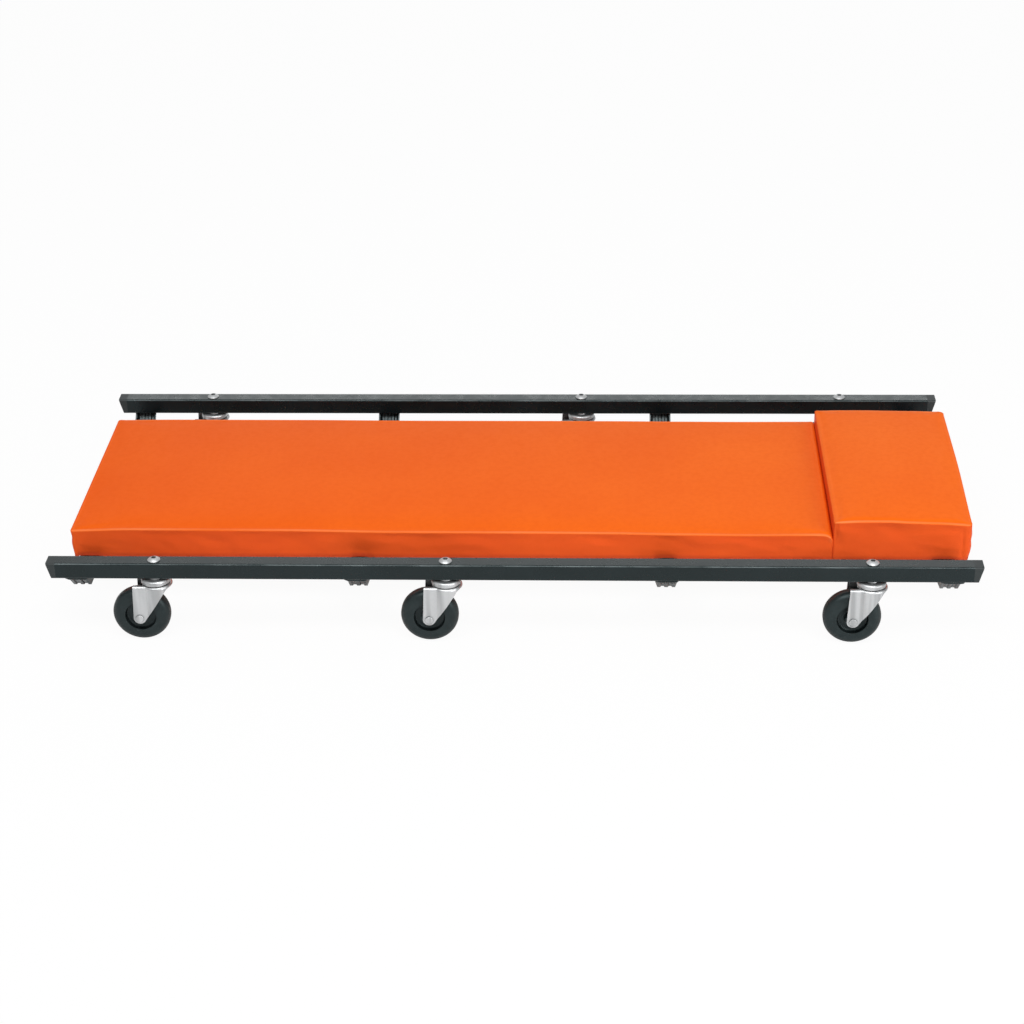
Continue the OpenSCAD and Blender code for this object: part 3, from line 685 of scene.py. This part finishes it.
def inflate(piece, held):
    """Swells a cover a little with Blender's Cloth, held at the points given, and keeps that shape."""
    before = points_of(piece)
    piece.vertex_groups.new(name="held").add([int(i) for i in held], 1.0, "REPLACE")
    cloth = piece.modifiers.new("Cloth", "CLOTH")
    for name, value in CLOTH.items():
        setattr(cloth.settings, name, value)
    cloth.settings.vertex_group_mass = "held"
    cloth.settings.effector_weights.gravity = 0
    cloth.point_cache.frame_start = 1
    cloth.point_cache.frame_end = CLOTH_FRAMES
    for step in range(1, CLOTH_FRAMES + 1):
        scene.frame_set(step)
    evaluated = piece.evaluated_get(bpy.context.evaluated_depsgraph_get())
    flat = np.empty(len(before) * 3)
    evaluated.data.vertices.foreach_get("co", flat)
    moved = flat.reshape(-1, 3) - before
    piece.modifiers.remove(cloth)
    scene.frame_set(1)
    reach = np.maximum(np.linalg.norm(moved, axis=1), 1e-9)
    set_points(piece, before + moved * (SWELL * np.tanh(reach / SWELL) / reach)[:, None])


class Skin:
    """A cover's points while it is sculpted, and where each one was before.

    x is along the pad and z over its foot, below is the depth under its top edge, and end is the
    distance from the nearer corner of a point's side. The rest are shares from 0 to 1: over_hem is
    on a side, outer fades in from the hem to the side, long_side and meeting face those ways.
    """

    def __init__(self, piece, pad, meets, sides, along, rings):
        self.points, self.normals = points_of(piece), normals_of(piece)
        self.x, self.z = self.points[:, 0].copy(), self.points[:, 2] - pad.base
        self.below = pad.height - self.z
        self.sides, self.along, self.rings = sides, along, rings
        length = np.where(np.isin(sides, LONG_SIDES), 2 * pad.half[0], 2 * pad.half[1])
        self.end = np.minimum(along, length - along)
        self.over_hem = (sides != TOP) & (rings > LAST_HEM_RING)
        self.outer = (sides != TOP) * smooth(rings, LAST_HEM_RING - 1, LAST_HEM_RING + 1)
        self.long_side = smooth(np.abs(self.normals[:, 1]), *FACING)
        self.meeting = smooth(self.normals[:, 0] * meets, *FACING)


class Cushion:
    """One pad of the creeper: its cover, the foam in it and the staples that hold the cover's hem.

    meets is 1 where its head end touches the other pad and -1 where its foot end does. roll is the
    radius of the end that turns down, at its near and its far corner, or None. skew is how far the
    far corner of the free end stands out along X. sag is the height of the near top edge along X
    over its straight line. folds are (start, end, width, depth) of soft grooves in the long sides
    as (x, z) places, and ridges where the depth is below zero. tucks are the X places where the
    cover's foot is drawn in round a cross member.
    """

    def __init__(self, name, radii, meets, roll, skew, sag, folds, tucks):
        self.name, self.meets, self.roll, self.skew = name, meets, roll, skew
        self.sag, self.folds, self.tucks = sag, folds, tucks
        self.cover_node, self.foam_node = name + "_cover", name + "_foam"
        self.pad = Pad(self.cover_node, radii)
        self.meeting_x = self.pad.centre[0] + meets * (self.pad.half[0] + MEETING_BULGE)

    def bend(self, points):
        """Lets the points follow the top's long sag, less on its far side, and rolls one end down."""
        pad = self.pad
        share = (points[:, 2] - pad.base) / pad.height
        across = np.clip((points[:, 1] - pad.centre[1]) / pad.half[1], -1, 1)
        away = (points[:, 0] - self.meeting_x) / (2 * pad.half[0])
        points[:, 2] += share * eased(points[:, 0], self.sag) * (SAG_MIDDLE - SAG_ACROSS * across)
        points[:, 0] += self.skew * away * smooth(across, *SKEW_REACH)
        if self.roll:
            radius = self.roll[0] + (self.roll[1] - self.roll[0]) * (across + 1) / 2
            left = self.meets * (self.meeting_x - points[:, 0])
            inward = 1 - np.clip(left / radius, 0, 1)
            points[:, 2] -= share * radius * (1 - np.sqrt(1 - inward**2))
            corner = hill(np.hypot(left, points[:, 1] - pad.centre[1] + pad.half[1]), CORNER_REACH)
            points[:, 2] -= np.clip(share, 0, 1) * CORNER_DROP * corner

    def push_sides(self, skin):
        """Gives the sides their fullness, dents, folds and tucks, and the top edge its ridge."""
        pad, z = self.pad, skin.z
        wall = skin.over_hem * smooth(z, *FADE_FOOT) * smooth(skin.below, *FADE_TOP)
        slanted = skin.points * DENT_SQUEEZE + np.outer(skin.points[:, 2], DENT_SLANT)
        dents = sum(depth * waves(slanted, size, k) for k, (depth, size) in enumerate(DENTS, 1))
        drawn = -DRAWN * smooth(skin.end, *DRAWN_REACH)
        full = BULGE * np.sin(math.pi * z / pad.height)
        move = wall * (1 - skin.meeting) * (dents + drawn + full)
        for start, stop, width, depth in self.folds:
            face = skin.over_hem * skin.long_side * smooth(z, *FADE_FOOT)
            face *= smooth(skin.below, 0, min(FOLD_FADE * width, FADE_TOP[1]))
            move -= face * depth * line_weight(skin.x, z + pad.base, start, stop, width)
        ridge = hill(z - (pad.height - RIDGE_BELOW), RIDGE_W)
        move += skin.over_hem * (1 - skin.meeting) * RIDGE * ridge
        for place in self.tucks:
            foot = (1 - smooth(z, *FADE_FOOT)) * smooth(z, *TUCK_RISE)
            move -= skin.over_hem * skin.long_side * TUCK * foot * hill(skin.x - place, TUCK_W)
        skin.points += skin.normals * move[:, None]

    def press_ends(self, skin):
        """Lets the free end stand out, and presses the meeting one against the other pad."""
        pad = self.pad
        skin.points[:, 0] += END_OUT * (skin.x - self.meeting_x) / (2 * pad.half[0])
        press = skin.meeting * skin.outer * (LEAN[0] + FOOT_TURN_R + MEETING_BULGE)
        upper = smooth(skin.z, 0.5 * pad.height, pad.height)
        skin.points[:, 0] += self.meets * press * (1 - MEETING_EASE * upper)

    def hang_hem(self, skin):
        """Lets the hem sag where no cross member holds it up, and doubles it at its corners."""
        free = np.ones(len(skin.x))
        for low, high in member_spans():
            start, stop = low - HEM_SAG_EASE, high + HEM_SAG_EASE
            free *= 1 - smooth(skin.x, start, low) * smooth(-skin.x, -stop, -high)
        pull = 0.5 - 0.5 * np.cos(2 * math.pi * skin.along / STAPLE_PITCH)
        fall = HEM_SAG - HEM_PULL * pull - HEM_WAVE * waves(skin.points, HEM_WAVE_SIZE, 3)
        skin.points[:, 2] -= free * fall * skin.outer * (1 - smooth(skin.z, *HEM_SAG_FADE))
        corner = np.abs(skin.points[:, :2] - self.pad.centre) - self.pad.half
        mitre = hill((corner[:, 0] - corner[:, 1]) / math.sqrt(2), MITRE_W)
        mitre *= corner.min(axis=1) > -MITRE_REACH
        skin.points[:, 2] += MITRE * mitre * (skin.rings < LAST_HEM_RING) * (skin.sides != TOP)

    def mark(self, piece, skin):
        """Keeps for the vinyl where a highlight is painted along the top edge and at a corner, and
        where shade is painted on the side and its foot.
        """
        height = self.pad.height
        ends = np.where(np.isin(skin.sides, LONG_SIDES), 1, CREASE_ON_ENDS)
        # Painted highlight along the crease of the top edge, wavy in strength and stronger near the
        # corners
        crease = skin.over_hem * hill(skin.z - (height - CREASE_BELOW), CREASE_W) * ends
        highlight_strength = HIGHLIGHT_LEVEL + HIGHLIGHT_WAVE * waves(skin.points, HIGHLIGHT_WAVE_SIZE, 4)
        highlight_strength += HIGHLIGHT_END * (1 - smooth(skin.end, *HIGHLIGHT_END_REACH))
        # A painted highlight patch at the near corner by the meeting end
        inward, down = CORNER_HIGHLIGHT_PLACE
        corner = np.hypot(skin.x - self.meeting_x + inward, skin.z - height + down)
        corner = CORNER_HIGHLIGHT * hill(corner, CORNER_HIGHLIGHT_W) * (skin.sides == NEAR)
        keep_numbers(piece, PAINTED_HIGHLIGHT, crease * highlight_strength + corner)
        # Painted shade: 1 over the side panel, rising towards 2 at its foot
        side = (skin.sides != TOP) * smooth(skin.below, *SIDE_SHADE_BAND)
        keep_numbers(piece, PAINTED_SHADE, side * (2 - smooth(skin.z, *FOOT_SHADE_BAND)))

    def sculpt(self, piece, sides, along, rings):
        """Shapes the cover from a plain box cushion into this one, and marks it for its material."""
        skin = Skin(piece, self.pad, self.meets, sides, along, rings)
        self.push_sides(skin)
        self.press_ends(skin)
        self.hang_hem(skin)
        reach = np.minimum(self.meets * skin.points[:, 0], self.meets * self.meeting_x)
        skin.points[:, 0] = self.meets * reach
        self.bend(skin.points)
        set_points(piece, skin.points)
        self.mark(piece, skin)

    def make_cover(self):
        """The vinyl cover, from the top panel to the hem under the board."""
        points, faces, sides, along, rings = self.pad.surface(self.pad.cover_levels())
        piece = make_piece(self.name + "_pad_cover", points, faces, "vinyl")
        inflate(piece, np.flatnonzero(rings <= LAST_HEM_RING + 2))
        self.sculpt(piece, sides, along, rings)
        subdivide = piece.modifiers.new("Subdivision", "SUBSURF")
        subdivide.levels = subdivide.render_levels = 1
        sheet = piece.modifiers.new("Sheet", "SOLIDIFY")
        sheet.thickness, sheet.offset = COVER_T, -1
        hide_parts(self.cover_node)

    def make_foam(self):
        """The block of foam between the board and the cover."""
        block = Pad(self.foam_node, self.pad.radii)
        points, faces, *_ = block.surface(block.foam_levels(), closed_foot=True)
        self.bend(points)
        piece = make_piece(self.name + "_pad_foam", points, faces, "foam")
        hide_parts(self.foam_node)

    def staple_places(self):
        """Middle and direction of each staple on the hem, clear of the cross members."""
        blocked = [(low - STAPLE_CLEAR, high + STAPLE_CLEAR) for low, high in member_spans()]
        half = self.pad.half - (LEAN + FOOT_TURN_R + STAPLE_INSET)
        places = []
        for axis, direction in enumerate(((1, 0), (0, 1))):
            count = round(2 * half[axis] / STAPLE_PITCH)
            for k in range(count):
                run = half[axis] * (2 * (k + 0.5) / count - 1)
                for side in (-1, 1):
                    away = side * half[1 - axis]
                    place = self.pad.centre + ((run, away) if axis == 0 else (away, run))
                    if not any(low < place[0] < high for low, high in blocked):
                        places.append((place, direction))
        return places

    def make_staples(self):
        """One wire staple in each place: a flat crown on the hem, and legs driven into the board."""
        turns = round_angles(WIRE_AROUND)
        section = [(WIRE_WIDE * math.cos(a), WIRE_THICK * math.sin(a)) for a in turns]
        last = len(STAPLE_PATH) - 1
        points, faces = [], []
        for place, direction in self.staple_places():
            along, across = np.array(direction), np.array((-direction[1], direction[0]))
            faces += tube(len(STAPLE_PATH), WIRE_AROUND, len(points))
            for k, (run, rise) in enumerate(STAPLE_PATH):
                ahead = STAPLE_PATH[min(k + 1, last)] - STAPLE_PATH[max(k - 1, 0)]
                ahead = ahead / np.hypot(*ahead)
                for wide, thick in section:
                    flat = place + along * (run - ahead[1] * thick) + across * wide
                    z = self.pad.base - STAPLE_DROP + rise + ahead[0] * thick
                    points.append((*flat, z))
        make_piece(self.name + "_hem_staples", points, faces, "zinc")


CUSHIONS = (
    Cushion(
        "body",
        radii=(3 * MM, 1 * MM),
        meets=1,
        roll=(6 * MM, 1 * MM),
        skew=0,
        sag=[
            (-0.496, -1.2 * MM),
            (-0.43, 0.7 * MM),
            (-0.26, 0.3 * MM),
            (-0.13, -1.5 * MM),
            (0.02, -1.6 * MM),
            (0.1, -2.0 * MM),
            (0.19, -3.3 * MM),
            (0.26, -3.9 * MM),
            (0.33, -3.2 * MM),
        ],
        folds=[
            ((-0.494, 0.093), (-0.466, 0.069), 5 * MM, -0.9 * MM),
            ((-0.41, 0.095), (-0.39, 0.074), 6 * MM, 0.9 * MM),
            ((-0.3, 0.092), (-0.235, 0.074), 9 * MM, 0.6 * MM),
            ((0.03, 0.09), (0.09, 0.072), 9 * MM, 0.5 * MM),
            ((0.27, 0.09), (0.32, 0.07), 7 * MM, 0.7 * MM),
        ],
        tucks=(-0.476, 0.335),
    ),
    Cushion(
        "head",
        radii=(1 * MM, 6 * MM),
        meets=-1,
        roll=None,
        skew=3.2 * MM,
        sag=[
            (0.355, -1.9 * MM),
            (0.385, -0.6 * MM),
            (0.415, -0.5 * MM),
            (0.44, -1.8 * MM),
            (0.465, -2.6 * MM),
            (0.504, -4.6 * MM),
        ],
        folds=[
            ((0.411, 0.11), (0.444, 0.079), 6 * MM, 1.7 * MM),
            ((0.465, 0.068), (0.486, 0.093), 5 * MM, -1.0 * MM),
            ((0.4935, 0.104), (0.4945, 0.068), 2 * MM, 1.5 * MM),
            ((0.395, 0.107), (0.393, 0.072), 6 * MM, 0.9 * MM),
            ((0.3578, 0.113), (0.3552, 0.084), 1.2 * MM, 2 * MM),
        ],
        tucks=(0.478,),
    ),
)


# Welds

BEAD_R, BEAD_HALF, BEAD_AROUND, BEAD_STEP = 1.4 * MM, 11.5 * MM, 10, 0.55 * MM
BEAD_RIPPLE, BEAD_RIPPLE_SHARE = 2.2 * MM, 0.14
BEAD_BOW, BEAD_OUT, BEAD_DROP = 0.5 * MM, 0.2 * MM, 0.7 * MM
BEAD_DRIFT, BEAD_DRIFT_SIZE, BEAD_SHIFT = 0.25 * MM, 5 * MM, 40
BEAD_END, BEAD_END_POWER = 0.02, 8


def bead_points(middle, edge, side, top):
    """Rows of points round one rippled bead along X, on a lip's edge that faces side in Y."""
    points = []
    for s in np.arange(-BEAD_HALF, BEAD_HALF + BEAD_STEP / 2, BEAD_STEP):
        taper = math.sqrt(max(BEAD_END, 1 - (s / BEAD_HALF) ** BEAD_END_POWER))
        drift = BEAD_DRIFT * noise.noise(Vector((s / BEAD_DRIFT_SIZE, middle * BEAD_SHIFT, side)))
        ripple = 1 + BEAD_RIPPLE_SHARE * abs(math.sin(math.pi * s / BEAD_RIPPLE))
        radius = BEAD_R * taper * ripple
        for a in round_angles(BEAD_AROUND):
            bow = BEAD_BOW * (1 + math.cos(a))
            y = edge + side * (BEAD_OUT + drift + radius * math.cos(a))
            points.append((middle + s + bow, y, top - BEAD_DROP + radius * math.sin(a)))
    return points


def make_welds():
    """A weld bead between the end of each cross member's lip and the rail over it."""
    rail_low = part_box("left_rail")[0][2]
    points, faces = [], []
    for low, high in member_boxes():
        for side, edge in ((-1, low[1]), (1, high[1])):
            bead = bead_points((low[0] + high[0]) / 2, edge, side, rail_low)
            faces += tube(len(bead) // BEAD_AROUND, BEAD_AROUND, len(points), side)
            points += bead
    make_piece("weld_beads", points, faces, "powder_coat")


# Light, floor and background

FLOOR_HALF, FLOOR_GREY, FLOOR_ROUGH = 8.0, 0.9, 0.9
FLOOR_WHITE, FLOOR_MIRRORED = 0.95, 0.12
WORLD_LIGHT, WORLD_MIRRORED = 0.4, 0.52

# Each softbox: its place, the point it faces, its width and height, and its watts
SOFTBOXES = {
    "key": ((-0.1, -1.3, 2.25), (0, 0, 0.1), (2.6, 0.9), 43),
    "head_side": ((2.0, -1.7, 0.9), (0.3, -0.1, 0.08), (1.2, 1.0), 23),
    "behind": ((0.1, 3.6, 1.74), (0, 0.2, 0.1), (3.4, 0.3), 13),
}


def seen_share(tree, direct, mirrored):
    """direct for rays from the camera, mirrored for those of gloss or glass, and 0 for the rest."""
    path = tree.nodes.new("ShaderNodeLightPath")
    shares = {"Is Camera Ray": direct, "Is Glossy Ray": mirrored, "Is Transmission Ray": mirrored}
    total = None
    for ray, share in shares.items():
        add = tree.nodes.new("ShaderNodeMath")
        add.operation = "MULTIPLY_ADD"
        add.use_clamp = True
        add.inputs[1].default_value = share
        add.inputs[2].default_value = 0
        tree.links.new(path.outputs[ray], add.inputs[0])
        if total:
            tree.links.new(total, add.inputs[2])
        total = add.outputs[0]
    return total


def make_world():
    """A dim white world that shows full white to the camera and part of it in reflections."""
    world = bpy.data.worlds.new("studio")
    world.use_nodes = True
    tree = world.node_tree
    dim = tree.nodes["Background"]
    dim.inputs["Color"].default_value = (1, 1, 1, 1)
    dim.inputs["Strength"].default_value = WORLD_LIGHT
    white = tree.nodes.new("ShaderNodeBackground")
    white.inputs["Color"].default_value = (1, 1, 1, 1)
    mix = tree.nodes.new("ShaderNodeMixShader")
    tree.links.new(seen_share(tree, 1, WORLD_MIRRORED), mix.inputs[0])
    tree.links.new(dim.outputs[0], mix.inputs[1])
    tree.links.new(white.outputs[0], mix.inputs[2])
    tree.links.new(mix.outputs[0], tree.nodes["World Output"].inputs["Surface"])
    scene.world = world


def make_floor():
    """A pale floor that shows nearly white to the camera and keeps a light shadow."""
    mesh = bpy.data.meshes.new("floor")
    corners = ((-1, -1), (1, -1), (1, 1), (-1, 1))
    mesh.from_pydata([(x * FLOOR_HALF, y * FLOOR_HALF, 0) for x, y in corners], [], [(0, 1, 2, 3)])
    material = bpy.data.materials.new("floor")
    material.use_nodes = True
    tree = material.node_tree
    shader = tree.nodes["Principled BSDF"]
    shader.inputs["Base Color"].default_value = (FLOOR_GREY, FLOOR_GREY, FLOOR_GREY, 1)
    shader.inputs["Roughness"].default_value = FLOOR_ROUGH
    shader.inputs["Specular IOR Level"].default_value = 0
    white = tree.nodes.new("ShaderNodeEmission")
    mix = tree.nodes.new("ShaderNodeMixShader")
    tree.links.new(seen_share(tree, FLOOR_WHITE, FLOOR_MIRRORED), mix.inputs[0])
    tree.links.new(shader.outputs[0], mix.inputs[1])
    tree.links.new(white.outputs[0], mix.inputs[2])
    tree.links.new(mix.outputs[0], tree.nodes["Material Output"].inputs["Surface"])
    mesh.materials.append(material)
    floor = bpy.data.objects.new("floor", mesh)
    scene.collection.objects.link(floor)


def softbox(name, place, target, size, watts):
    """A rectangular area lamp at place that faces target."""
    lamp = bpy.data.lights.new(name, "AREA")
    lamp.shape = "RECTANGLE"
    lamp.size, lamp.size_y = size
    lamp.energy = watts
    holder = bpy.data.objects.new(name, lamp)
    holder.location = place
    ahead = Vector(target) - Vector(place)
    holder.rotation_euler = ahead.to_track_quat("-Z", "Y").to_euler()
    holder.visible_camera = False
    scene.collection.objects.link(holder)


place_camera()
dress_frame()
make_welds()
for cushion in CUSHIONS:
    cushion.make_cover()
    cushion.make_foam()
    cushion.make_staples()
make_world()
make_floor()
for lamp_name, values in SOFTBOXES.items():
    softbox(lamp_name, *values)
scene.view_settings.view_transform = "Standard"
